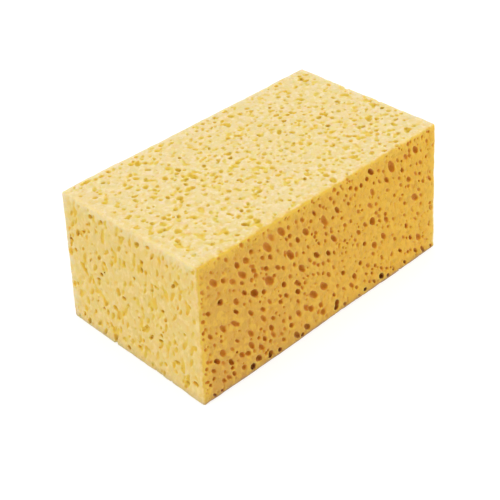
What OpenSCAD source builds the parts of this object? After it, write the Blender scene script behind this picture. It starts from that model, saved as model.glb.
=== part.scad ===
// Tiler's washing sponge: one rectangular block of open-pored yellow cellulose
// foam, cut square, with slightly eased edges and round pores in every face.
//
// Frame: millimetres, +Z up. The block stands on its broad underside, with the
// origin at the middle of that face. +X runs along the length, and the front
// is the long side at -Y.

/* [Block] */
// Length of the block
block_length = 180; // [150:1:240]
// Width of the block, front to back
block_width = 100; // [80:1:140]
// Height of the block
block_height = 82; // [60:1:110]
// Rounding of the four upright edges
upright_edge_r = 3; // [1:0.5:5]
// Rounding of the edges round the top and the underside
level_edge_r = 2.5; // [1:0.5:5]

/* [Scattered pores] */
// Whether pores are cut at all
show_pores = true;
// Smallest diameter of a scattered pore
pore_min_d = 2; // [1:0.5:3]
// Largest diameter of a scattered pore
pore_max_d = 5; // [3:0.5:6]
// Spacing of the scattered pores
pore_pitch = 13; // [12:0.5:25]
// Share of the places that hold a pore
pore_share = 0.65; // [0.2:0.05:1]
// How far a pore's centre lies under its face, as a share of its radius
pore_sink = 0.15; // [0:0.05:0.4]

/* [Front] */
// Whether the front has its large pores
show_front_pores = true;

/* [Underside] */
// Radius of the patch in the middle of the underside that has no pores
rest_patch_r = 15; // [5:1:25]

/* [Hidden] */
$fn = 48;

// Large pores of the front: [along, up, diameter], on a front of 180 by 80.
// They follow the block when its length or height changes.
FRONT_L = 180;
FRONT_H = 80;
FRONT_PORES = [
    [-80, 68, 5], [-67, 61, 4.5], [-59, 62, 5], [-42, 69, 5.5], [-32, 72, 5],
    [-14, 63, 4.5], [1, 63, 6], [10.5, 64, 4.5], [38, 74, 4.5], [54.5, 70, 7],
    [75, 71, 5], [50.5, 62, 4], [-25, 56, 5], [-53, 47, 5], [-42, 49, 6.5],
    [-18, 43, 5.5], [-8, 46, 4.5], [8, 49, 4.5], [38, 44, 5], [50, 40, 5],
    [74, 41, 6.5], [-75, 38, 5], [-20, 36, 4.5], [-48, 30, 4], [47, 30, 4.5],
    [39, 28, 4.5], [-10, 23, 5.5], [-2, 23, 6], [-81, 21, 4.5], [-60, 15, 4.5],
    [-23, 17, 5], [-14, 15, 6], [23, 17, 4], [19, 11, 4.5], [76, 15, 5.5],
    [-4, 8, 4.5], [7, 7, 5]
];

// Least wall between two pores
pore_wall = 0.8;

// Distance from a face's border to the nearest scattered pore's centre
pore_margin = max(upright_edge_r, level_edge_r) + pore_max_d / 2 + pore_wall;

// How far a pore may lie from the middle of its own place, so that two
// neighbours never meet
pore_stray = (pore_pitch - pore_max_d - pore_wall) / 2;

function clamp(v, limit) = max(-limit, min(limit, v));

// A repeatable value from 0 to 1 for place [i, j] of face f, draw k
function noise(i, j, f, k) =
    let (v = abs(sin(i * 127.1 + j * 311.7 + f * 74.7 + k * 53.3)) * 4375.85)
    v - floor(v);

// How many places fit along a face's side
function places(side) = floor((side - 2 * pore_margin) / pore_pitch) + 1;

// Pore at place [i, j] of face f, which is a by b: [across, up, diameter],
// measured from the face's middle. Every other row is shifted sideways.
function scattered_pore(i, j, f, a, b) = [
    clamp((i - (places(a) - 1) / 2 + (j % 2 == 0 ? 0.25 : -0.25)) * pore_pitch
        + (2 * noise(i, j, f, 1) - 1) * pore_stray, a / 2 - pore_margin),
    clamp((j - (places(b) - 1) / 2) * pore_pitch
        + (2 * noise(i, j, f, 2) - 1) * pore_stray, b / 2 - pore_margin),
    pore_min_d + (pore_max_d - pore_min_d) * pow(noise(i, j, f, 3), 2)
];

// Large pore n of the front, measured from the front's middle
function front_pore(n) = [
    FRONT_PORES[n][0] * block_length / FRONT_L,
    (FRONT_PORES[n][1] / FRONT_H - 0.5) * block_height,
    FRONT_PORES[n][2]
];

// All large pores of the front, or none
front_pores = show_front_pores
    ? [for (n = [0 : len(FRONT_PORES) - 1]) front_pore(n)]
    : [];

// Whether pore p stays clear of every pore in the list others
function is_clear(p, others) =
    len([for (q = others)
        if (norm([p[0] - q[0], p[1] - q[1]]) < (p[2] + q[2]) / 2 + pore_wall) q]) == 0;

// Outline of a face: a rectangle with round corners
module eased_outline(a, b, r) {
    union() {
        square([a - 2 * r, b], center = true);
        square([a, b - 2 * r], center = true);
        for (sx = [-1, 1], sy = [-1, 1])
            translate([sx * (a / 2 - r), sy * (b / 2 - r)]) circle(r = r);
    }
}

// The block before its pores: the shape that three prisms share, one along
// each axis
module eased_block() {
    intersection() {
        linear_extrude(height = block_height)
            eased_outline(block_length, block_width, upright_edge_r);
        translate([0, 0, block_height / 2]) rotate([90, 0, 0])
            linear_extrude(height = block_width + 2, center = true)
                eased_outline(block_length, block_height, level_edge_r);
        translate([0, 0, block_height / 2]) rotate([90, 0, 90])
            linear_extrude(height = block_length + 2, center = true)
                eased_outline(block_width, block_height, level_edge_r);
    }
}

// One round pore in a face that lies in the XY plane, with the block below it
module pore(p) {
    translate([p[0], p[1], -pore_sink * p[2] / 2]) sphere(d = p[2]);
}

// Scattered pores of face f, which is a by b. Those nearer than keep to the
// middle, or too near a pore in others, are left out.
module face_pores(f, a, b, keep = 0, others = []) {
    for (i = [0 : places(a) - 1], j = [0 : places(b) - 1]) {
        p = scattered_pore(i, j, f, a, b);
        if (noise(i, j, f, 4) <= pore_share
            && norm([p[0], p[1]]) >= keep + p[2] / 2
            && is_clear(p, others))
            pore(p);
    }
}

module top_pores() {
    translate([0, 0, block_height]) face_pores(0, block_length, block_width);
}

module underside_pores() {
    rotate([180, 0, 0]) face_pores(1, block_length, block_width, rest_patch_r);
}

module front_side_pores() {
    translate([0, -block_width / 2, block_height / 2]) rotate([90, 0, 0]) {
        face_pores(2, block_length, block_height, 0, front_pores);
        for (p = front_pores) pore(p);
    }
}

module back_side_pores() {
    translate([0, block_width / 2, block_height / 2]) rotate([-90, 0, 0])
        face_pores(3, block_length, block_height);
}

module left_end_pores() {
    translate([-block_length / 2, 0, block_height / 2]) rotate([0, -90, 0])
        face_pores(4, block_height, block_width);
}

module right_end_pores() {
    translate([block_length / 2, 0, block_height / 2]) rotate([0, 90, 0])
        face_pores(5, block_height, block_width);
}

module sponge_block() {
    color([0.93, 0.77, 0.38])
        difference() {
            eased_block();
            if (show_pores) {
                top_pores();
                underside_pores();
                front_side_pores();
                back_side_pores();
                left_end_pores();
                right_end_pores();
            }
        }
}

sponge_block();
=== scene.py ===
import math
import time

import bpy
import numpy as np
from mathutils import Matrix, Vector


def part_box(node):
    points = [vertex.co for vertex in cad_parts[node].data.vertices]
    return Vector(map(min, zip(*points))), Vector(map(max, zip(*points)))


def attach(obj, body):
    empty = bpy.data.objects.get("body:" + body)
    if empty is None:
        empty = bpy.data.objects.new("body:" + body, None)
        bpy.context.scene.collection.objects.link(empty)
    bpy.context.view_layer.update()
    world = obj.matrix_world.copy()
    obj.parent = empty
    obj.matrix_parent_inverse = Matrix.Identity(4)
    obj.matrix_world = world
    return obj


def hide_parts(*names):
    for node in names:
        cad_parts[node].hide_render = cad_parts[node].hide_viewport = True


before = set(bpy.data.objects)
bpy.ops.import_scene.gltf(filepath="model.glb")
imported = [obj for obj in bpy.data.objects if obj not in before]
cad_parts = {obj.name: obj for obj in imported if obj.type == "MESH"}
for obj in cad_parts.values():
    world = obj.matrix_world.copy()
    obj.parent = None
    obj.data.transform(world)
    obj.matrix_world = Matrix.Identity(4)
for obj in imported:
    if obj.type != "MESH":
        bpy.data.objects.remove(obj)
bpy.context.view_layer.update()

T0 = time.time()


def say(*words):
    print("SPONGE", round(time.time() - T0, 1), *words, flush=True)


# ---------------------------------------------------------------- sizes, in mm
BOX_LO, BOX_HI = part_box("sponge_block")
LO = np.array([float(v) for v in BOX_LO]) * 1000.0
HI = np.array([float(v) for v in BOX_HI]) * 1000.0
SIZE = HI - LO
MID = (LO + HI) / 2.0
HALF = SIZE / 2.0

STEP = 0.5  # voxel edge
PAD = 3.0
EDGE_R = 1.1
FACES_WANTED = 400000

# The long way of the cells: down, to the right and to the back, lying flatter under the
# broad faces and more along the width at the ends
GRAIN = np.array([0.42, 0.28, -0.86])
GRAIN /= np.linalg.norm(GRAIN)
TOP_GRAIN = np.array([0.72, 0.51, -0.46])
TOP_GRAIN /= np.linalg.norm(TOP_GRAIN)
END_GRAIN = np.array([0.22, 0.32, -0.92])
END_GRAIN /= np.linalg.norm(END_GRAIN)

rng = np.random.default_rng(61307)

# ------------------------------------------------------------------ the grid
COUNT = np.ceil((SIZE + 2 * PAD) / STEP).astype(int) + 1
START = MID - (COUNT - 1) * STEP / 2.0
AX = [START[k] + STEP * np.arange(COUNT[k]) for k in range(3)]


def spline_weights(x, origin, pitch, n):
    """Rows of cubic B-spline weights that read n control values at the points x."""
    t = (x - origin) / pitch
    i = np.floor(t).astype(int)
    f = t - i
    w = np.zeros((len(x), n))
    rows = np.arange(len(x))
    parts = (
        (1 - f) ** 3 / 6,
        (3 * f**3 - 6 * f**2 + 4) / 6,
        (-3 * f**3 + 3 * f**2 + 3 * f + 1) / 6,
        f**3 / 6,
    )
    for k, p in enumerate(parts):
        w[rows, np.clip(i + k, 0, n - 1)] += p
    return w.astype(np.float32)


def noise_volume(pitch):
    """A smooth random field on the grid, about -1 to 1, whose lumps are about pitch apart."""
    ns = [int(math.ceil((a[-1] - a[0]) / pitch)) + 4 for a in AX]
    c = rng.standard_normal(ns).astype(np.float32)
    for k in range(3):
        w = spline_weights(AX[k], AX[k][0], pitch, ns[k])
        c = np.moveaxis(np.tensordot(w, c, axes=(1, k)), 0, k)
    c /= c.std() * 2.0
    return c


def streaky_volume(short, long, way=GRAIN):
    """A smooth random field on the grid with unit spread, its lumps drawn out along way."""
    f = np.fft.rfftn(rng.standard_normal(COUNT).astype(np.float32))
    kx = (2 * np.pi * np.fft.fftfreq(COUNT[0], STEP))[:, None, None]
    ky = (2 * np.pi * np.fft.fftfreq(COUNT[1], STEP))[None, :, None]
    kz = (2 * np.pi * np.fft.rfftfreq(COUNT[2], STEP))[None, None, :]
    along = kx * way[0] + ky * way[1] + kz * way[2]
    whole = kx * kx + ky * ky + kz * kz
    e = short**2 * (whole - along**2) + long**2 * along**2
    f *= np.exp(-0.5 * e) * (1 - np.exp(-1.5 * e))
    c = np.fft.irfftn(f, s=tuple(COUNT)).astype(np.float32)
    return c / c.std()


def smooth_step(x, a, b):
    t = np.clip((x - a) / (b - a), 0, 1)
    return t * t * (3 - 2 * t)


# -------------------------------------------------------------- the plain block
def block_field(x, y, z, r):
    """Distance to the block with its edges rounded to r, under 0 inside."""
    qx = np.abs(x - MID[0]) - (HALF[0] - r)
    qy = np.abs(y - MID[1]) - (HALF[1] - r)
    qz = np.abs(z - MID[2]) - (HALF[2] - r)
    out = np.sqrt(
        np.maximum(qx, 0) ** 2 + np.maximum(qy, 0) ** 2 + np.maximum(qz, 0) ** 2
    )
    return out + np.minimum(np.maximum(np.maximum(qx, qy), qz), 0) - r


GX = AX[0][:, None, None].astype(np.float32)
GY = AX[1][None, :, None].astype(np.float32)
GZ = AX[2][None, None, :].astype(np.float32)

say("grid", COUNT)
phi = block_field(GX, GY, GZ, np.float32(EDGE_R)).astype(np.float32)
LUMPS = noise_volume(2.4)
phi += 0.25 * noise_volume(28.0)
phi += 0.12 * noise_volume(5.0)
phi += 0.09 * LUMPS
phi -= 0.42
# it rests flat on its underside
phi = np.maximum(phi, float(LO[2]) - GZ)
SKIN = phi.copy()
say("block")

# Shallow, uneven pits between the pores: deep on the broad faces and the ends, slight
# on the long sides, and fading towards the edges
in_a = HALF[0] - np.abs(GX - MID[0])
in_b = HALF[1] - np.abs(GY - MID[1])
in_c = HALF[2] - np.abs(GZ - MID[2])
near_long = smooth_step(np.minimum(in_a, in_c) - in_b, -0.8, 1.6)
near_end = (1 - near_long) * smooth_step(in_c - in_a, -0.8, 0.8)
second = np.maximum(np.minimum(in_a, in_b), np.minimum(np.maximum(in_a, in_b), in_c))
from_edge = (0.30 + 0.70 * smooth_step(second, 0.5, 3.5)).astype(np.float32)
pits = streaky_volume(1.05, 2.0, TOP_GRAIN)
phi += from_edge * (1 - near_long) * (1 - near_end) * 0.60 * smooth_step(pits, 0.9, 2.1)
pits = streaky_volume(1.05, 2.5, END_GRAIN)
phi += from_edge * near_end * 0.80 * smooth_step(pits, 0.8, 2.0)
pits = streaky_volume(0.7, 1.2)
phi += from_edge * 0.35 * smooth_step(pits, 0.9, 2.0)
del pits, near_long, near_end, second, from_edge
say("pits")


# ------------------------------------------------------------------- the pores
def turned(axis, spin):
    """Three unit axes as columns, the last along axis, the others spun about it."""
    a = np.asarray(axis, float)
    a = a / np.linalg.norm(a)
    s = np.cross(a, [0.0, 0.0, 1.0] if abs(a[2]) < 0.9 else [1.0, 0.0, 0.0])
    s /= np.linalg.norm(s)
    t = np.cross(a, s)
    c, d = math.cos(spin), math.sin(spin)
    return np.column_stack([c * s + d * t, -d * s + c * t, a])


def carve(centre, radii, axes, rough=0.22, soft=0.25):
    """Cuts one uneven ellipsoid out of the field. radii go with the columns of axes."""
    centre = np.asarray(centre, float)
    reach = np.sqrt((axes**2) @ (np.asarray(radii) ** 2)) + 0.8
    i0 = np.maximum(np.floor((centre - reach - START) / STEP).astype(int), 0)
    i1 = np.minimum(np.ceil((centre + reach - START) / STEP).astype(int) + 1, COUNT)
    if np.any(i1 <= i0):
        return
    box = tuple(slice(a, b) for a, b in zip(i0, i1))
    dx = (AX[0][box[0]] - centre[0])[:, None, None]
    dy = (AX[1][box[1]] - centre[1])[None, :, None]
    dz = (AX[2][box[2]] - centre[2])[None, None, :]
    q = 0.0
    g = 0.0
    for k in range(3):
        p = (dx * axes[0, k] + dy * axes[1, k] + dz * axes[2, k]) / radii[k]
        q = q + p * p
        g = g + (p / radii[k]) ** 2
    root = np.sqrt(q)
    # first-order distance to the ellipsoid
    d = (root - 1.0) * root / np.maximum(np.sqrt(g), 1e-6)
    least = float(min(radii))
    d = np.where(root < 0.35, -least * (1 - root), d)
    d = d + rough * least * LUMPS[box]
    a, b = phi[box], -d
    m = np.maximum(a, b)
    e = np.maximum(soft - np.abs(a - b), 0.0)
    phi[box] = m + e * e / (4 * soft)


# Sides of the block: outward normal, and two directions along the side
SIDES = {
    "top": ((0, 0, 1), (1, 0, 0), (0, 1, 0)),
    "under": ((0, 0, -1), (1, 0, 0), (0, 1, 0)),
    "front": ((0, -1, 0), (1, 0, 0), (0, 0, 1)),
    "back": ((0, 1, 0), (1, 0, 0), (0, 0, 1)),
    "left": ((-1, 0, 0), (0, 1, 0), (0, 0, 1)),
    "right": ((1, 0, 0), (0, 1, 0), (0, 0, 1)),
}

# Pores of the front: middle along and up, length and width, in mm on a front of 180 by
# 80, from the deepest list to the shallowest.
FRONT_HOLES = [
    (97, 7.5, 4.8, 3.6), (96.5, 4.5, 4, 3.4), (33.5, 2.6, 4.5, 3.2), (120, 2.6, 3.6, 3),
    (46, 1.6, 3, 2.2), (133.5, 3.5, 6, 3.4),
]
FRONT_DEEP = [
    (5.5, 52, 3.8, 2.4), (14, 54, 4.5, 3), (30, 51, 5.5, 2.5), (36.5, 47, 7.5, 3.6),
    (43, 44.5, 3.6, 2.5), (23.5, 43.5, 5.5, 2.4), (57.5, 41, 5, 3), (55, 31.5, 4.5, 2.6),
    (59, 33.5, 5, 2.4), (9.5, 21.5, 6, 3), (47.5, 20, 5.5, 2.8), (19, 15.5, 6.5, 3),
    (42.5, 16, 4.5, 2.4), (38, 6.5, 5.5, 3.6),
    (53, 2.8, 3.5, 2.5), (26, 69, 5, 2.6), (16.5, 65, 4.5, 2.4),
    (117.5, 70.5, 3.8, 2.4), (68.5, 62, 5, 2.6), (98.5, 65, 6, 2.8),
    (82, 46, 6.5, 3), (91, 42.5, 5, 2.6), (68, 36, 7, 3), (67.5, 31, 5, 3),
    (120, 33, 4.2, 3), (102.5, 23.5, 4, 2.6), (116.5, 22.5, 4, 2.6),
    (62, 13, 4.5, 2.6), (111.5, 16.5, 5.5, 2.6),
    (70, 2.3, 3, 2.4), (125.5, 75, 7.5, 3), (122.5, 72, 3.5, 2.4),
    (138.5, 64, 5.5, 2.6), (151.5, 64, 4, 2.4), (126.5, 44, 6.5, 3.4), (135.5, 30, 6.5, 2.8),
    (155, 26.5, 4, 2.6), (158.5, 17, 5, 2.6), (149.5, 13, 5, 2),
    (163, 6, 5, 2.4), (153.5, 3, 4.5, 2.4), (4.5, 10, 3, 2.2),
]
FRONT_PLAIN = [
    (87, 24, 8.5, 4.4), (71, 43.5, 8.5, 3.2), (29, 62, 7, 3.6), (79, 23, 8, 4.2),
    (63, 56, 8.5, 3.6),
    (19, 75.5, 4.5, 2), (29.5, 78.5, 4, 2.2), (9, 73.5, 3.5, 2), (36, 71.5, 3.5, 2.5),
    (57, 72.5, 8.5, 4), (10, 67.5, 8, 3.6), (22.5, 61.5, 6.5, 3.6), (32, 68.5, 6, 3.2),
    (37, 60, 4.5, 2.6), (38, 57, 3.5, 2.6), (43, 64.5, 4, 2.4), (46.5, 69, 8.5, 4),
    (48.5, 62, 5, 2.6), (28.5, 57.5, 4, 2), (23, 56, 3, 1.8), (45.5, 57, 4, 2.6),
    (24, 49, 5.5, 3), (47.5, 49, 8.5, 4.8), (53.5, 53.5, 5.5, 2.4), (57.5, 51, 4, 2.4),
    (51, 50, 3, 2), (14.5, 38.5, 7.5, 3.4), (6, 38.5, 5, 2.6), (22, 37.5, 7, 3),
    (24.5, 35.5, 3, 2), (33.5, 37, 6, 2.4), (42, 34.5, 5, 2.4), (42, 29, 6.5, 2.6),
    (13, 32, 3.2, 1.8), (13.5, 24.5, 6, 3), (23.5, 26, 4.5, 2), (33, 25, 6.5, 2.6),
    (49, 25, 4, 2), (42.5, 20.5, 3.5, 2), (7, 17.5, 4.5, 2.4), (26.5, 15.5, 5.5, 2.8),
    (33, 17.5, 6.5, 2.8), (30.5, 14, 5, 3), (38.5, 19, 2.8, 2), (40, 12, 6, 2.8),
    (56.5, 19, 4, 2.4), (13.5, 7.5, 4, 2), (17, 7.5, 5, 2.4), (20.5, 7.5, 4.5, 2),
    (27.5, 7, 4.5, 3), (56, 7.5, 4, 2.2), (46.5, 4.5, 4, 2.4), (7, 2.5, 4, 2),
    (12, 1.2, 3, 1.6), (72, 72, 4.5, 2.2), (81, 71.5, 5, 2.2), (85.5, 73.5, 3.5, 2),
    (109, 73, 3.5, 2.6), (113.5, 70.5, 3.5, 2.2), (63, 67, 4, 2.8), (78.5, 68, 3, 2),
    (74.5, 63.5, 7, 3.6), (88.5, 63.5, 8, 3.2), (82, 59.5, 4, 2.2), (81, 57.5, 3, 1.8),
    (76, 54, 4, 2), (84, 52, 4, 2), (89.5, 55, 4, 1.8), (65.5, 49, 3.5, 2),
    (95.5, 49, 7.5, 3), (109, 53, 3.5, 2), (77, 45.5, 4.5, 2), (95.5, 40.5, 3.5, 1.8),
    (115, 43, 4.5, 2.4), (120.5, 45, 5, 2.4), (91, 29, 5, 2.2), (67.5, 25, 4, 2),
    (67.5, 17.5, 7, 3), (61.5, 18, 4, 2), (73.5, 17.5, 6, 3), (77, 15, 4, 2.8),
    (98, 18, 3.5, 2.4), (84.5, 13, 4.5, 2.4), (109, 12, 6, 2.6), (113, 8.5, 4, 2.2),
    (86, 7.5, 5.5, 3.4), (66, 4.5, 6.5, 3), (73.5, 5.5, 7, 3.2), (119.5, 9, 3, 2),
    (136, 70.5, 3.5, 2), (142.5, 70.5, 9.5, 4.4), (156.5, 78, 3, 2.4), (157.5, 70.5, 3.5, 2),
    (162.5, 72, 6.5, 3.2), (132.5, 66, 4.5, 2), (157, 56, 4.5, 3), (145, 51.5, 3, 2.2),
    (129.5, 48, 3.5, 2), (132.5, 41.5, 4, 1.8), (138, 39.5, 6.5, 2.8), (153.5, 42.5, 3, 2),
    (162.5, 42, 8, 3.6), (169.5, 49, 3.5, 2.2), (175.5, 48, 6, 2.5), (144, 37, 3.5, 2.2),
    (128, 28, 6, 3.4), (153.5, 34.5, 3.5, 2.2), (176, 31.5, 3, 2), (127, 23, 4, 2.4),
    (145.5, 23, 4.5, 2.8), (152.5, 20.5, 4, 2), (177, 28, 5, 2.6), (165.5, 14.5, 7.5, 3.4),
    (134, 17, 4.5, 1.8), (128.5, 14.5, 3.5, 2), (121, 13, 4, 2), (125.5, 11, 3, 1.8),
    (133.5, 10, 4, 1.8), (138, 7.5, 4, 2), (156.5, 8.5, 3.5, 2), (169, 4.5, 5, 2),
    (139, 2.2, 3, 2.2), (170, 2, 3.5, 2), (127.5, 4.5, 4, 2),
]
FRONT_SHALLOW = [
    (14, 78.5, 3, 2), (13, 71.5, 2.5, 1.6), (49.5, 73, 7, 3.4), (2.5, 74, 4, 2),
    (25, 73, 3, 1.8), (6.5, 66.5, 4, 1.8), (16.5, 69.5, 3, 1.6), (36, 63, 3, 2),
    (35, 56, 3, 2), (54, 63, 3.5, 1.6), (6.5, 62, 2.5, 2), (13, 60, 3, 2),
    (2, 49.5, 3, 2.4), (29.5, 44.5, 3, 1.8), (47, 36.5, 5, 2), (10, 38.5, 3, 1.6),
    (8.5, 32, 3, 1.6), (54.5, 36, 4, 1.8), (20, 23, 5, 2), (5, 28.5, 3, 1.8),
    (13.5, 18.5, 4, 2), (48.5, 15.5, 5, 2), (54.5, 12, 3, 1.6), (62, 72.5, 3.5, 2),
    (93.5, 74, 3.5, 1.8), (96.5, 78, 3.5, 2), (77, 65, 2.5, 1.6), (109, 66.5, 3.5, 2),
    (104, 68, 3, 1.6), (104, 53, 3.5, 2), (115, 56, 3.5, 2), (89, 51, 3, 1.8),
    (80, 42, 3, 1.6), (62, 43.5, 3.5, 2), (112, 40, 3.5, 1.8), (72, 37, 3, 1.6),
    (79, 35.5, 3, 1.6), (87, 38, 3.5, 1.8), (83, 34, 4, 1.6), (114, 35.5, 3.5, 2),
    (95, 31.5, 4, 2), (72.5, 27, 3.5, 1.8), (80.5, 29, 2.5, 1.6), (102.5, 13.5, 4, 2),
    (103.5, 3, 3.5, 2), (131.5, 73, 3, 1.8), (147.5, 72, 4, 1.8), (172.5, 73, 3.5, 2),
    (126.5, 62.5, 6, 3), (149, 60.5, 3, 2), (167, 62, 4, 2), (124.5, 55, 6, 2.8),
    (129.5, 53.5, 3, 2), (139, 57.5, 3.5, 1.8), (150, 55.5, 3.5, 1.8), (163, 57, 4, 1.6),
    (165.5, 45.5, 4, 2), (167.5, 41, 4, 2), (160, 35, 5, 2), (134, 27, 4, 1.6),
    (2.5, 66, 3, 1.8), (1.8, 58, 2.6, 1.6), (3.2, 44.5, 3, 1.8), (1.6, 39.5, 2.8, 1.6),
    (2.4, 33, 3, 1.8), (3.4, 25, 3, 1.8), (1.8, 18.5, 3, 1.6), (3, 13, 3, 1.6),
    (1.6, 7, 2.6, 1.6), (1.7, 71, 2.6, 1.6), (2.8, 53.5, 2.6, 1.6), (162.5, 28, 5, 1.8), (168.5, 26.5, 3.5, 1.8), (122, 18, 4, 2), (123.5, 6.5, 3, 1.6),
]


def front_pores():
    """The front's own pores, each an oval that leans to the left as it goes up."""
    done = []
    for pores, low, high in (
        (FRONT_HOLES, 0.35, 0.50),
        (FRONT_DEEP, -0.08, 0.25),
        (FRONT_PLAIN, -0.42, -0.20),
        (FRONT_SHALLOW, -0.66, -0.48),
    ):
        for along, up, length, width in pores:
            x = LO[0] + along * SIZE[0] / 180.0
            lowest = (0.66 if pores is FRONT_HOLES else 0.45) * length + 0.8
            z = LO[2] + max(up * SIZE[2] / 80.0, lowest)
            lean = math.radians(34.0 + rng.uniform(-9, 9))
            long_r, short_r = 0.5 * length * 0.94, 0.5 * width * 0.94
            axis = np.array([math.sin(lean), 0.12, -math.cos(lean)])
            axes = turned(axis, 0.0)
            # the two short axes: one in the face, one into the block
            depth_k = int(np.argmax(np.abs(axes[1, :2])))
            radii = np.array([short_r, short_r, long_r])
            radii[depth_k] = max(short_r * 1.3, 0.6 * long_r)
            share = rng.uniform(low, high)
            sink = radii[depth_k] * share
            # the mouth keeps its size however far out the middle lies
            grow = 1 / math.sqrt(1 - min(abs(share), 0.6) ** 2)
            for k in range(3):
                if k != depth_k:
                    radii[k] *= grow
            carve((x, LO[1] + sink, z), radii, axes, rough=0.20)
            done.append((x, z, long_r))
            # cells that open from the bottom of this one
            if pores is FRONT_SHALLOW or (pores is FRONT_PLAIN and width > 2.9):
                continue
            for _ in range(int(width > 2.9) + int(rng.random() < 0.4)):
                r = short_r * rng.uniform(0.42, 0.68)
                off = rng.uniform(-0.55, 0.55, 2)
                carve(
                    (
                        x + off[0] * short_r + axes[0, 2] * off[1] * long_r,
                        LO[1] + sink + radii[depth_k] * rng.uniform(0.65, 0.95),
                        max(z + axes[2, 2] * off[1] * long_r, LO[2] + 1.7 * r + 1.2),
                    ),
                    (r, r, r * rng.uniform(1.1, 1.6)),
                    turned(GRAIN + rng.normal(0, 0.3, 3), rng.uniform(0, 3)),
                    rough=0.25,
                    soft=0.2,
                )
    return done


def scattered_pores(
    side, wanted, small, large, stretch, sink, clear=(), gap=0.25, way=GRAIN, lean_to=2.2,
    crowding=0.45,
):
    """Random cells along one side. Sizes are the short radii, in mm, and lean towards the
    small ones the more lean_to is over 1."""
    n, u, v = (np.array(a, float) for a in SIDES[side])
    hu, hv = abs(u @ HALF), abs(v @ HALF)
    face = MID + n * HALF
    placed = [(a, b, r) for a, b, r in clear]
    made = 0
    tries = 0
    crowd = rng.standard_normal((int(hu / 4) + 6, int(hv / 4) + 6))
    while made < wanted and tries < wanted * 14:
        tries += 1
        a, b = rng.uniform(-hu, hu), rng.uniform(-hv, hv)
        # cells crowd in some places, about 8 mm across, and are scarce in others
        s, t = (a + hu) / 8 + 1, (b + hv) / 8 + 1
        i, j = int(s), int(t)
        s, t = s - i, t - j
        here = (crowd[i, j] * (1 - s) + crowd[i + 1, j] * s) * (1 - t) + (
            crowd[i, j + 1] * (1 - s) + crowd[i + 1, j + 1] * s
        ) * t
        if rng.random() > 1 - crowding + crowding * here:
            continue
        r = small + (large - small) * rng.random() ** lean_to
        margin = 4.5 if side == "under" else 1.5 * r + 0.6
        if min(hu - abs(a), hv - abs(b)) < margin and rng.random() < 0.93:
            continue
        k = stretch * rng.uniform(0.8, 1.3)
        if placed:
            p = np.array(placed[-700:]) if len(placed) > 700 else np.array(placed)
            if np.any(np.hypot(p[:, 0] - a, p[:, 1] - b) < p[:, 2] * 0.8 + r * (1 + gap)):
                if rng.random() < 0.93:
                    continue
        placed.append((a, b, r * math.sqrt(k)))
        made += 1
        axes = turned(way + rng.normal(0, 0.16, 3), rng.uniform(0, math.pi))
        radii = np.array([r * rng.uniform(0.85, 1.1), r * rng.uniform(0.9, 1.2), r * k])
        out = math.sqrt(((axes.T @ n) ** 2 * radii**2).sum())
        c = face + u * a + v * b - n * out * rng.uniform(*sink)
        # the underside keeps a whole border, so that no pore of a side opens into it
        if side == "under" and min(hu - abs(a), hv - abs(b)) < 8.0:
            continue
        carve(c, radii, axes, rough=0.24)
        if r > 1.25 and rng.random() < 0.5:
            for _ in range(1 + int(rng.random() < 0.4)):
                q = r * rng.uniform(0.4, 0.65)
                way = -n + rng.normal(0, 0.6, 3)
                way /= np.linalg.norm(way)
                carve(
                    c + way * out * rng.uniform(0.7, 1.0),
                    (q, q, q * rng.uniform(1.1, 1.6)),
                    turned(GRAIN + rng.normal(0, 0.3, 3), rng.uniform(0, 3)),
                    rough=0.25,
                    soft=0.2,
                )
    return made


taken = [(x - MID[0], z - MID[2], r) for x, z, r in front_pores()]
say("front pores", len(taken))
scattered_pores("front", 45, 0.7, 1.05, 1.6, (-0.5, 0.0), clear=taken, lean_to=1.3)
scattered_pores("front", 70, 0.8, 1.15, 1.7, (-0.78, -0.55), clear=taken, crowding=0.2)
scattered_pores("front", 120, 0.5, 0.8, 1.7, (-0.7, -0.2), clear=taken, crowding=0.2)
# small cells cut open along the upper edge and the upright edge beside the left end
for k in range(44):
    r = rng.uniform(0.5, 0.95)
    off = rng.uniform(1.0, 2.9)
    if k < 32:
        at_x, at_z = rng.uniform(LO[0] + 3, HI[0] - 3), HI[2] - off
    else:
        at_x, at_z = LO[0] + off, rng.uniform(LO[2] + 6, HI[2] - 3)
    carve(
        (at_x, LO[1] - r * rng.uniform(0.35, 0.65), at_z),
        (r, r, r * rng.uniform(1.3, 1.9)),
        turned(GRAIN + rng.normal(0, 0.25, 3), rng.uniform(0, 3)),
        rough=0.3,
    )
scattered_pores("back", 110, 1.1, 2.1, 1.6, (-0.3, 0.2), lean_to=1.7, crowding=0.25)
scattered_pores("back", 160, 0.8, 1.2, 1.6, (-0.4, 0.1), crowding=0.25)
scattered_pores("back", 110, 0.5, 0.75, 1.7, (-0.5, 0.1))
for side in ("top", "under"):
    on_top = {"way": TOP_GRAIN, "crowding": 0.25}
    made = [
        scattered_pores(side, 80, 1.35, 1.75, 1.7, (-0.66, -0.36), lean_to=1.4, **on_top),
        scattered_pores(side, 460, 1.05, 1.4, 1.8, (-0.68, -0.36), lean_to=1.3, **on_top),
        scattered_pores(side, 200, 0.65, 0.9, 1.7, (-0.66, -0.3), **on_top),
    ]
    say(side, made)
for side in ("left", "right"):
    on_end = {"way": END_GRAIN, "crowding": 0.30}
    scattered_pores(side, 50, 1.25, 1.65, 2.6, (-0.70, -0.40), lean_to=1.2, **on_end)
    scattered_pores(side, 120, 0.95, 1.25, 2.7, (-0.70, -0.40), lean_to=1.2, **on_end)
    scattered_pores(side, 40, 0.65, 0.9, 2.0, (-0.66, -0.3), **on_end)
say("pores")


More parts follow.
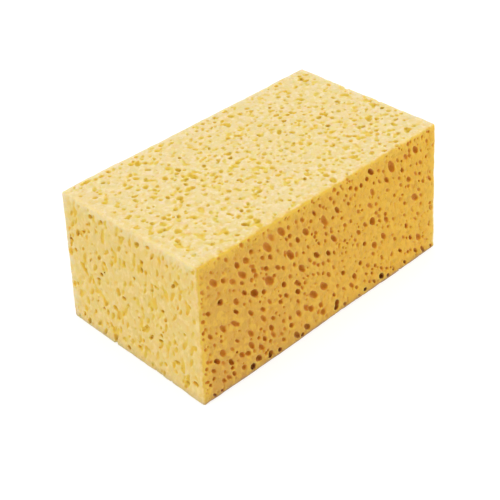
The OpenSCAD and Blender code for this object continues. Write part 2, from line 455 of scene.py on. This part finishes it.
# -------------------------------------------------- a clean closed surface
def mend_field(f):
    """Fills the cells where the surface would cross itself."""
    for turn in range(12):
        s = f < 0
        bad = 0
        for k in range(3):
            o = [a for a in range(3) if a != k]

            def at(d0, d1):
                sl = [slice(None)] * 3
                sl[o[0]] = slice(1, None) if d0 else slice(None, -1)
                sl[o[1]] = slice(1, None) if d1 else slice(None, -1)
                return tuple(sl)

            a, b, c, d = s[at(0, 0)], s[at(1, 0)], s[at(0, 1)], s[at(1, 1)]
            cross = (a == d) & (b == c) & (a != b)
            where = np.argwhere(cross)
            bad += len(where)
            if len(where):
                for e0, e1 in ((0, 0), (1, 0), (0, 1), (1, 1)):
                    w = where.copy()
                    w[:, o[0]] += e0
                    w[:, o[1]] += e1
                    t = tuple(w.T)
                    f[t] = np.where(f[t] >= 0, -0.02, f[t])
        if not bad:
            return turn
    return turn


def surface_of(f):
    """Points and four-sided faces of the surface where f changes sign."""
    s = f < 0
    n = np.array(f.shape)
    cells = np.zeros(n - 1, np.int8)
    for dx in (0, 1):
        for dy in (0, 1):
            for dz in (0, 1):
                cells += s[
                    dx : n[0] - 1 + dx, dy : n[1] - 1 + dy, dz : n[2] - 1 + dz
                ].view(np.int8)
    active = (cells > 0) & (cells < 8)
    ijk = np.argwhere(active)
    index = np.full(n - 1, -1, np.int32)
    index[active] = np.arange(len(ijk), dtype=np.int32)
    corner = {}
    for dx in (0, 1):
        for dy in (0, 1):
            for dz in (0, 1):
                corner[dx, dy, dz] = f[ijk[:, 0] + dx, ijk[:, 1] + dy, ijk[:, 2] + dz]
    total = np.zeros((len(ijk), 3))
    hits = np.zeros(len(ijk))
    for a in corner:
        for k in range(3):
            if a[k]:
                continue
            b = tuple(1 if m == k else a[m] for m in range(3))
            fa, fb = corner[a], corner[b]
            hit = (fa < 0) != (fb < 0)
            t = np.where(hit, fa / np.where(hit, fa - fb, 1.0), 0.0)
            for m in range(3):
                total[:, m] += np.where(hit, a[m] + (t if m == k else 0.0), 0.0)
            hits += hit
    points = START + (ijk + total / hits[:, None]) * STEP
    quads = []
    for k in range(3):
        o = [a for a in range(3) if a != k]
        lo = [slice(None)] * 3
        hi = [slice(None)] * 3
        lo[k], hi[k] = slice(None, -1), slice(1, None)
        change = s[tuple(lo)] != s[tuple(hi)]
        e = np.argwhere(change)
        e = e[(e[:, o[0]] > 0) & (e[:, o[1]] > 0)]
        e = e[(e[:, o[0]] < n[o[0]] - 1) & (e[:, o[1]] < n[o[1]] - 1)]
        q = []
        for d0, d1 in ((1, 1), (0, 1), (0, 0), (1, 0)):
            c = e.copy()
            c[:, o[0]] -= d0
            c[:, o[1]] -= d1
            q.append(index[tuple(c.T)])
        q = np.column_stack(q)
        solid_first = s[tuple(e.T)]
        if k == 1:
            solid_first = ~solid_first
        q[~solid_first] = q[~solid_first][:, ::-1]
        quads.append(q)
    return points, np.vstack(quads)


def largest_piece(points, quads):
    """Drops closed bubbles and loose crumbs: only the largest connected surface stays."""
    label = np.arange(len(points))
    a = quads
    while True:
        low = label[a].min(axis=1)
        new = label.copy()
        for k in range(4):
            np.minimum.at(new, a[:, k], low)
        while True:
            jump = new[new]
            if np.array_equal(jump, new):
                break
            new = jump
        if np.array_equal(new, label):
            break
        label = new
    names, counts = np.unique(label[quads[:, 0]], return_counts=True)
    best = names[np.argmax(counts)]
    keep = label[quads[:, 0]] == best
    quads = quads[keep]
    used = np.unique(quads)
    back = np.full(len(points), -1)
    back[used] = np.arange(len(used))
    return points[used], back[quads], len(names)


turns = mend_field(phi)
say("mended in", turns)
points, quads = surface_of(phi)
say("surface", len(points), len(quads))
points, quads, shells = largest_piece(points, quads)
say("largest of", shells, ":", len(points), len(quads))


# ------------------------------------- how shut in each point is, from the field, for the painted shade in the hollows and the painted highlight on the rims
def blurred_solid(f, sigma):
    c = (f < 0).astype(np.float32)
    n = int(round(2.2 * sigma / STEP))
    w = np.exp(-0.5 * (np.arange(-n, n + 1) * STEP / sigma) ** 2)
    w = (w / w.sum()).astype(np.float32)
    for k in range(3):
        out = np.zeros_like(c)
        for m, g in enumerate(w):
            d = m - n
            src = [slice(None)] * 3
            dst = [slice(None)] * 3
            if d >= 0:
                src[k], dst[k] = slice(d, None), slice(None, c.shape[k] - d)
            else:
                src[k], dst[k] = slice(None, d), slice(-d, None)
            out[tuple(dst)] += g * c[tuple(src)]
        c = out
    return c


def read_field(c, p):
    t = (p - START) / STEP
    i = np.clip(np.floor(t).astype(int), 0, COUNT - 2)
    f = t - i
    out = 0.0
    for dx in (0, 1):
        for dy in (0, 1):
            for dz in (0, 1):
                w = (
                    (f[:, 0] if dx else 1 - f[:, 0])
                    * (f[:, 1] if dy else 1 - f[:, 1])
                    * (f[:, 2] if dz else 1 - f[:, 2])
                )
                out = out + w * c[i[:, 0] + dx, i[:, 1] + dy, i[:, 2] + dz]
    return out


SHUT = blurred_solid(phi, 1.3)
say("blur")


def mesh_from(name, points_m, faces):
    mesh = bpy.data.meshes.new(name)
    width = faces.shape[1]
    mesh.vertices.add(len(points_m))
    mesh.vertices.foreach_set("co", np.ascontiguousarray(points_m, np.float32).ravel())
    mesh.loops.add(faces.size)
    mesh.loops.foreach_set("vertex_index", np.ascontiguousarray(faces, np.int32).ravel())
    mesh.polygons.add(len(faces))
    mesh.polygons.foreach_set("loop_start", np.arange(0, faces.size, width, dtype=np.int32))
    mesh.update(calc_edges=True)
    mesh.validate()
    return mesh


# ------------------------------------------------------------ fewer faces
work = bpy.data.objects.new("work", mesh_from("work", points / 1000.0, quads))
bpy.context.scene.collection.objects.link(work)
thin = work.modifiers.new("thin", "DECIMATE")
thin.ratio = min(1.0, FACES_WANTED / (2.0 * len(quads)))
thin.use_collapse_triangulate = True
graph = bpy.context.evaluated_depsgraph_get()
light = work.evaluated_get(graph).to_mesh()
count = len(light.vertices)
co = np.empty(count * 3, np.float32)
light.vertices.foreach_get("co", co)
co = co.reshape(-1, 3).astype(float) * 1000.0
light.calc_loop_triangles()
tris = np.empty(len(light.loop_triangles) * 3, np.int32)
light.loop_triangles.foreach_get("vertices", tris)
tris = tris.reshape(-1, 3)
bpy.data.objects.remove(work, do_unlink=True)
say("thinned to", len(tris))

edges = np.sort(np.vstack([tris[:, [0, 1]], tris[:, [1, 2]], tris[:, [2, 0]]]), axis=1)
_, uses = np.unique(edges, axis=0, return_counts=True)
say("edges not shared by two faces:", int((uses != 2).sum()))

# ----------------------------------------- what the material reads at each point
depth = -read_field(SKIN, co)
shut = read_field(SHUT, co)

# ------------------------------------------------- the block is not quite square
# How far each corner lies from a true box's, in mm
CORNERS = {
    (0, 0, 1): (0.5, -0.2, 0.3),
    (1, 0, 1): (-0.6, 1.3, -0.2),
    (0, 1, 1): (0.3, -0.3, -0.2),
    (1, 1, 1): (-0.3, -0.3, -0.8),
    (0, 0, 0): (-1.9, -1.8, 0.0),
    (1, 0, 0): (3.0, -0.8, 0.0),
    (0, 1, 0): (1.0, 2.7, 0.0),
    (1, 1, 0): (0.5, 0.8, 0.0),
}


def warped(p):
    if not CORNERS:
        return p
    t = (p - LO) / SIZE
    out = p.copy()
    for (cx, cy, cz), move in CORNERS.items():
        w = (
            (t[:, 0] if cx else 1 - t[:, 0])
            * (t[:, 1] if cy else 1 - t[:, 1])
            * (t[:, 2] if cz else 1 - t[:, 2])
        )
        out += w[:, None] * np.array(move, float)
    return out


final = warped(co) / 1000.0
mesh = mesh_from("cellulose_foam", final, tris)
mesh.shade_smooth()
for name, values in (("depth_mm", depth), ("shut_in", shut)):
    layer = mesh.attributes.new(name, "FLOAT", "POINT")
    layer.data.foreach_set("value", np.ascontiguousarray(values, np.float32))
sponge = bpy.data.objects.new("cellulose_foam", mesh)
bpy.context.scene.collection.objects.link(sponge)
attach(sponge, "root")
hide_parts("sponge_block")
say("piece")

# ---------------------------------------------------------------- the material
mat = bpy.data.materials.new("cellulose_foam")
mat.use_nodes = True
nt = mat.node_tree
nt.nodes.clear()


def node(kind, **sets):
    n = nt.nodes.new(kind)
    for k, v in sets.items():
        if k in n.inputs and not hasattr(n, k):
            n.inputs[k].default_value = v
        else:
            setattr(n, k, v)
    return n


def link(a, b):
    nt.links.new(a, b)


def val(x):
    return x


def math_node(op, a, b=None, c=None, clamp=False):
    n = nt.nodes.new("ShaderNodeMath")
    n.operation = op
    n.use_clamp = clamp
    for k, v in enumerate((a, b, c)):
        if v is None:
            continue
        if isinstance(v, (int, float)):
            n.inputs[k].default_value = v
        else:
            link(v, n.inputs[k])
    return n.outputs[0]


def ramp(value, a, b, c=0.0, d=1.0, smooth=True):
    n = nt.nodes.new("ShaderNodeMapRange")
    n.interpolation_type = "SMOOTHSTEP" if smooth else "LINEAR"
    n.clamp = True
    link(value, n.inputs["Value"])
    n.inputs["From Min"].default_value = a
    n.inputs["From Max"].default_value = b
    n.inputs["To Min"].default_value = c
    n.inputs["To Max"].default_value = d
    return n.outputs["Result"]


def mix(factor, a, b, mode="MIX"):
    n = nt.nodes.new("ShaderNodeMix")
    n.data_type = "RGBA"
    n.blend_type = mode
    n.clamp_factor = True
    for sock, v in ((n.inputs["Factor"], factor), (n.inputs[6], a), (n.inputs[7], b)):
        if isinstance(v, (int, float)):
            sock.default_value = v
        elif isinstance(v, tuple):
            sock.default_value = (*v, 1.0)
        else:
            link(v, sock)
    return n.outputs[2]


coord = node("ShaderNodeTexCoord")
mm = node("ShaderNodeVectorMath", operation="MULTIPLY")
link(coord.outputs["Object"], mm.inputs[0])
mm.inputs[1].default_value = (1000.0, 1000.0, 1000.0)
P = mm.outputs[0]
# cells are longer along the grain: squeeze space along it before the fine patterns
to_grain = node("ShaderNodeMapping", vector_type="POINT")
link(P, to_grain.inputs["Vector"])
to_grain.inputs["Rotation"].default_value = (
    Vector(GRAIN).rotation_difference(Vector((0, 0, -1))).to_euler()
)
grain = node("ShaderNodeMapping", vector_type="POINT")
link(to_grain.outputs["Vector"], grain.inputs["Vector"])
grain.inputs["Scale"].default_value = (1.0, 1.0, 0.58)
GP = grain.outputs["Vector"]

sep = node("ShaderNodeSeparateXYZ")
link(P, sep.inputs[0])
geo = node("ShaderNodeNewGeometry")
dep = node("ShaderNodeAttribute", attribute_name="depth_mm")
shu = node("ShaderNodeAttribute", attribute_name="shut_in")
DEPTH, SHUT_IN = dep.outputs["Fac"], shu.outputs["Fac"]

# Which side a point belongs to: its distance in from each pair of sides
in_x = math_node("SUBTRACT", float(HALF[0]), math_node("ABSOLUTE", sep.outputs["X"]))
in_y = math_node("SUBTRACT", float(HALF[1]), math_node("ABSOLUTE", sep.outputs["Y"]))
in_z = math_node(
    "SUBTRACT",
    float(HALF[2]),
    math_node("ABSOLUTE", math_node("SUBTRACT", sep.outputs["Z"], float(MID[2]))),
)
wob = node("ShaderNodeTexNoise")
link(P, wob.inputs["Vector"])
wob.inputs["Scale"].default_value = 0.30
wob.inputs["Detail"].default_value = 3.0
wobble = math_node("MULTIPLY", math_node("SUBTRACT", wob.outputs[0], 0.5), 4.0)
up_z = math_node("SUBTRACT", sep.outputs["Z"], float(LO[2]))
down_z = math_node("SUBTRACT", float(HI[2]), sep.outputs["Z"])
edge_way = math_node(
    "MINIMUM", math_node("SUBTRACT", in_x, 0.9), math_node("ADD", in_z, 0.3)
)
edge_way = math_node("SUBTRACT", edge_way, in_y)
edge_way = math_node("ADD", edge_way, wobble)
# the front's tone runs over its edges, the back's stops short of them
to_back = ramp(sep.outputs["Y"], -10.0, 10.0)
edge_way = math_node("ADD", edge_way, ramp(to_back, 0.0, 1.0, 1.2, -1.0))
# 1 on the long sides, 0 on the top, the underside and the ends
long_side = ramp(edge_way, -0.9, 1.3)
# 1 on the ends against the top and underside
end_side = ramp(
    math_node("ADD", math_node("SUBTRACT", in_z, in_x), wobble), -0.8, 1.2
)

# tones, linear. The tones differ by side, partly as the foam's own colour on each cut face and
# partly as painted light and shade: the lit top is paler, and the long sides are deeper gold as
# shaded sides lit through the foam. The DEEP tones are the pores' deeper inside colour with
# painted shade in them
TOP, END = (0.738, 0.580, 0.278), (0.735, 0.533, 0.168)
TOP_DEEP, TOP_DEEP_2 = (0.73, 0.505, 0.060), (0.72, 0.540, 0.085)
END_DEEP, END_DEEP_2 = (0.76, 0.480, 0.042), (0.74, 0.520, 0.060)
SIDE_LEFT, SIDE_RIGHT = (0.612, 0.339, 0.034), (0.690, 0.380, 0.010)
SIDE_DEEP, SIDE_EDGE_GLOW = (0.570, 0.207, 0.004), (0.705, 0.462, 0.040)
EDGE_HIGHLIGHT = (0.73, 0.66, 0.43)
# painted light: the long sides are yellower towards the upper edge and the ends, where light comes
# through the foam, and painted highlight: the broad face and the ends pale towards their edges
glow_by_edge = math_node("ADD", math_node("MINIMUM", in_x, down_z), wobble)
# painted shade: the long sides darken towards the left end and towards their lower left
side_tone = mix(ramp(sep.outputs["X"], -85.0, 60.0, smooth=False), SIDE_LEFT, SIDE_RIGHT)
low_left_shade = math_node("MULTIPLY", ramp(up_z, 42.0, 8.0), ramp(sep.outputs["X"], 20.0, -65.0))
side_tone = mix(low_left_shade, side_tone, (0.92, 0.89, 1.0), "MULTIPLY")
# painted light: the long sides' glow towards the upper edge and the ends
side_tone = mix(ramp(glow_by_edge, 6.5, 0.0, 0.0, 0.70), side_tone, SIDE_EDGE_GLOW)
# painted highlight: the ends pale towards their upper edge
end_tone = mix(ramp(down_z, 9.0, 0.0, 0.0, 0.55), END, EDGE_HIGHLIGHT)
top_edge = math_node(
    "MINIMUM",
    math_node("SUBTRACT", float(HI[1]), sep.outputs["Y"]),
    math_node("SUBTRACT", float(HI[0]), sep.outputs["X"]),
)
# painted highlight: the top pales towards its back and right edges
top_tone = mix(ramp(top_edge, 6.0, 0.0, 0.0, 0.45), TOP, EDGE_HIGHLIGHT)
from_front = math_node("SUBTRACT", sep.outputs["Y"], float(LO[1]))
from_back = math_node("SUBTRACT", float(HI[1]), sep.outputs["Y"])
# painted shade: the top turns golden towards its front edge, where the rounded edge turns down
# into the shaded long side
top_tone = mix(ramp(from_front, 4.2, 0.6, 0.0, 0.75), top_tone, (0.74, 0.53, 0.14))
# painted highlight: the ends pale towards their back edge
end_tone = mix(ramp(from_back, 5.0, 0.0, 0.0, 0.60), end_tone, EDGE_HIGHLIGHT)
# per-side tones: partly the foam's own colour, partly painted light and shade
skin = mix(long_side, mix(end_side, top_tone, end_tone), side_tone)
hue = node("ShaderNodeTexNoise")
link(P, hue.inputs["Vector"])
hue.inputs["Scale"].default_value = 0.23
hue.inputs["Detail"].default_value = 1.0
other = ramp(hue.outputs[0], 0.42, 0.58)
deep = mix(end_side, mix(other, TOP_DEEP, TOP_DEEP_2), mix(other, END_DEEP, END_DEEP_2))
deep = mix(long_side, deep, SIDE_DEEP)

# broad, slow changes of tone
slow = node("ShaderNodeTexNoise")
link(P, slow.inputs["Vector"])
slow.inputs["Scale"].default_value = 0.03
slow.inputs["Detail"].default_value = 3.0
# speckle between the pores, under a millimetre
fine = node("ShaderNodeTexNoise")
link(GP, fine.inputs["Vector"])
fine.inputs["Scale"].default_value = 0.9
fine.inputs["Detail"].default_value = 3.0
fine.inputs["Roughness"].default_value = 0.6
cells = node("ShaderNodeTexVoronoi", feature="F1")
link(GP, cells.inputs["Vector"])
cells.inputs["Scale"].default_value = 0.75
pin = node("ShaderNodeTexVoronoi", feature="F1")
link(GP, pin.inputs["Vector"])
pin.inputs["Scale"].default_value = 1.7

skin = mix(ramp(slow.outputs[0], 0.35, 0.65, 0.0, 0.10), skin, deep)
# greener and redder patches, a few millimetres across
patch = node("ShaderNodeTexNoise")
link(P, patch.inputs["Vector"])
patch.inputs["Scale"].default_value = 0.16
patch.inputs["Detail"].default_value = 2.0
skin = mix(ramp(patch.outputs[0], 0.50, 0.68, 0.0, 0.30), skin, (0.80, 0.86, 0.78), "MULTIPLY")
skin = mix(ramp(patch.outputs[0], 0.46, 0.30, 0.0, 0.25), skin, (1.0, 0.80, 0.95), "MULTIPLY")
# closed cells just under the skin show through it
under = node("ShaderNodeTexNoise")
link(GP, under.inputs["Vector"])
under.inputs["Scale"].default_value = 0.42
under.inputs["Detail"].default_value = 2.0
under.inputs["Roughness"].default_value = 0.55
dull = mix(long_side, deep, (0.50, 0.270, 0.020))
skin = mix(ramp(under.outputs[0], 0.47, 0.66, 0.0, 0.42), skin, dull)
# and paler skin in between
mottle = node("ShaderNodeTexNoise")
link(GP, mottle.inputs["Vector"])
mottle.inputs["Scale"].default_value = 0.34
mottle.inputs["Detail"].default_value = 2.0
pale_skin = mix(end_side, (0.79, 0.645, 0.40), (0.80, 0.60, 0.25))
pale_skin = mix(long_side, pale_skin, (0.71, 0.425, 0.030))
skin = mix(ramp(mottle.outputs[0], 0.50, 0.64, 0.0, 0.60), skin, pale_skin)
pit = math_node(
    "MULTIPLY", ramp(cells.outputs["Distance"], 0.42, 0.16), ramp(fine.outputs[0], 0.45, 0.62)
)
pin_pit = ramp(pin.outputs["Distance"], 0.34, 0.12)
skin = mix(math_node("MULTIPLY", pit, 0.45), skin, deep)
skin = mix(math_node("MULTIPLY", pin_pit, 0.22), skin, deep)

# pore insides: their own deeper colour, with painted shade by depth and by how shut in they are
hollow_tone_and_shade = math_node(
    "MAXIMUM",
    ramp(math_node("MULTIPLY", DEPTH, ramp(long_side, 0.0, 1.0, 1.15, 1.0)), 0.04, 0.80),
    ramp(SHUT_IN, 0.57, 0.76),
)
colour = mix(hollow_tone_and_shade, skin, deep)
# painted shade: the bottoms of the pores of the broad faces and the ends are darker again
pore_bottom_shade = mix(end_side, (0.66, 0.445, 0.034), (0.70, 0.43, 0.034))
bottom = math_node("MULTIPLY", ramp(DEPTH, 0.7, 1.6), math_node("SUBTRACT", 1.0, long_side))
colour = mix(bottom, colour, pore_bottom_shade)
# painted highlight: the open rims of the pores, least shut in, are paler
rim_highlight = ramp(SHUT_IN, 0.46, 0.30)
rim_highlight_tone = mix(long_side, (0.76, 0.65, 0.36), (0.58, 0.46, 0.07))
colour = mix(math_node("MULTIPLY", rim_highlight, 0.32), colour, rim_highlight_tone)
# painted shadow: a little darker where it stands
low = math_node("ADD", up_z, math_node("MULTIPLY", wobble, 0.7))
colour = mix(ramp(low, 6.5, 0.5, 0.0, 0.85), colour, (0.80, 0.78, 0.80), "MULTIPLY")
# painted shadow: the pores near the floor darker still
colour = mix(
    math_node(
        "MULTIPLY",
        hollow_tone_and_shade,
        math_node("MULTIPLY", ramp(up_z, 9.0, 1.0, 0.0, 0.8), ramp(long_side, 0.0, 1.0, 0.2, 1.0)),
    ),
    colour, (0.60, 0.55, 0.50), "MULTIPLY",
)
# painted contact shadow: a dark line along the foot of the block
contact_shadow_tone = mix(long_side, (0.50, 0.40, 0.17), (0.27, 0.165, 0.085))
colour = mix(ramp(low, 2.4, 0.5, 0.0, 0.85), colour, contact_shadow_tone)

bsdf = node("ShaderNodeBsdfPrincipled")
link(colour, bsdf.inputs["Base Color"])
bsdf.inputs["Roughness"].default_value = 0.92
bsdf.inputs["Specular IOR Level"].default_value = 0.22
bsdf.inputs["Sheen Weight"].default_value = 0.15
bsdf.inputs["Sheen Roughness"].default_value = 0.6
bsdf.inputs["Subsurface Weight"].default_value = 0.7
bsdf.inputs["Subsurface Radius"].default_value = (1.0, 0.65, 0.15)
bsdf.inputs["Subsurface Scale"].default_value = 0.004

height = math_node("MULTIPLY", pin_pit, -0.10)
height = math_node("ADD", height, math_node("MULTIPLY", pit, -0.30))
height = math_node("ADD", height, math_node("MULTIPLY", fine.outputs[0], 0.25))
bump = node("ShaderNodeBump")
bump.inputs["Strength"].default_value = 0.8
bump.inputs["Distance"].default_value = 0.001
link(height, bump.inputs["Height"])
link(bump.outputs[0], bsdf.inputs["Normal"])
out = node("ShaderNodeOutputMaterial")
link(bsdf.outputs[0], out.inputs[0])
mesh.materials.append(mat)

# -------------------------------------------------------------------- the stage
floor_mesh = bpy.data.meshes.new("floor")
floor_mesh.from_pydata(
    [(-4, -4, 0), (4, -4, 0), (4, 4, 0), (-4, 4, 0)], [], [(0, 1, 2, 3)]
)
floor = bpy.data.objects.new("floor", floor_mesh)
bpy.context.scene.collection.objects.link(floor)
floor_mat = bpy.data.materials.new("floor")
floor_mat.use_nodes = True
fb = floor_mat.node_tree.nodes["Principled BSDF"]
fb.inputs["Base Color"].default_value = (0.50, 0.50, 0.50, 1)
fb.inputs["Emission Color"].default_value = (1, 1, 1, 1)
fb.inputs["Emission Strength"].default_value = 0.56
fb.inputs["Roughness"].default_value = 0.9
fb.inputs["Specular IOR Level"].default_value = 0.1
floor_mesh.materials.append(floor_mat)

world = bpy.data.worlds.new("studio")
bpy.context.scene.world = world
world.use_nodes = True
bg = world.node_tree.nodes["Background"]
bg.inputs["Color"].default_value = (1.0, 1.0, 1.0, 1)
bg.inputs["Strength"].default_value = 0.80


def area(name, place, aim, size, watts, colour=(1, 1, 1)):
    data = bpy.data.lights.new(name, "AREA")
    data.shape = "SQUARE"
    data.size = size
    data.energy = watts
    data.color = colour
    o = bpy.data.objects.new(name, data)
    o.location = place
    o.rotation_euler = (Vector(aim) - Vector(place)).to_track_quat("-Z", "Y").to_euler()
    bpy.context.scene.collection.objects.link(o)
    return o


area("key", (-0.50, -0.15, 1.60), (0, 0, 0.04), 1.2, 11.5)
area("fill", (0.60, -0.70, 0.42), (0.03, -0.05, 0.04), 0.5, 1.6)

# ------------------------------------------------------------------- the camera
AZ, EL, ROLL = math.radians(-44.049), math.radians(35.581), math.radians(-2.146)
AIM = Vector((-0.02173, -0.01597, 0.04100))
DISTANCE = 0.67189
FOCAL_PX = 1276.12
cam_data = bpy.data.cameras.new("camera")
cam_data.sensor_width = 36.0
cam_data.lens = FOCAL_PX / 500.0 * 36.0
cam_data.clip_start = 0.01
cam = bpy.data.objects.new("camera", cam_data)
back = Vector(
    (math.sin(AZ) * math.cos(EL), -math.cos(AZ) * math.cos(EL), math.sin(EL))
)
right = (-back).cross(Vector((0, 0, 1))).normalized()
up = right.cross(-back)
r2 = math.cos(ROLL) * right + math.sin(ROLL) * up
u2 = -math.sin(ROLL) * right + math.cos(ROLL) * up
turn = Matrix((r2, u2, back)).transposed().to_4x4()
cam.matrix_world = Matrix.Translation(AIM + back * DISTANCE) @ turn
bpy.context.scene.collection.objects.link(cam)
bpy.context.scene.camera = cam

bpy.context.scene.view_settings.view_transform = "Standard"
bpy.context.scene.view_settings.look = "None"
bpy.context.scene.view_settings.exposure = 0.0

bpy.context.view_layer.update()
say("ready")
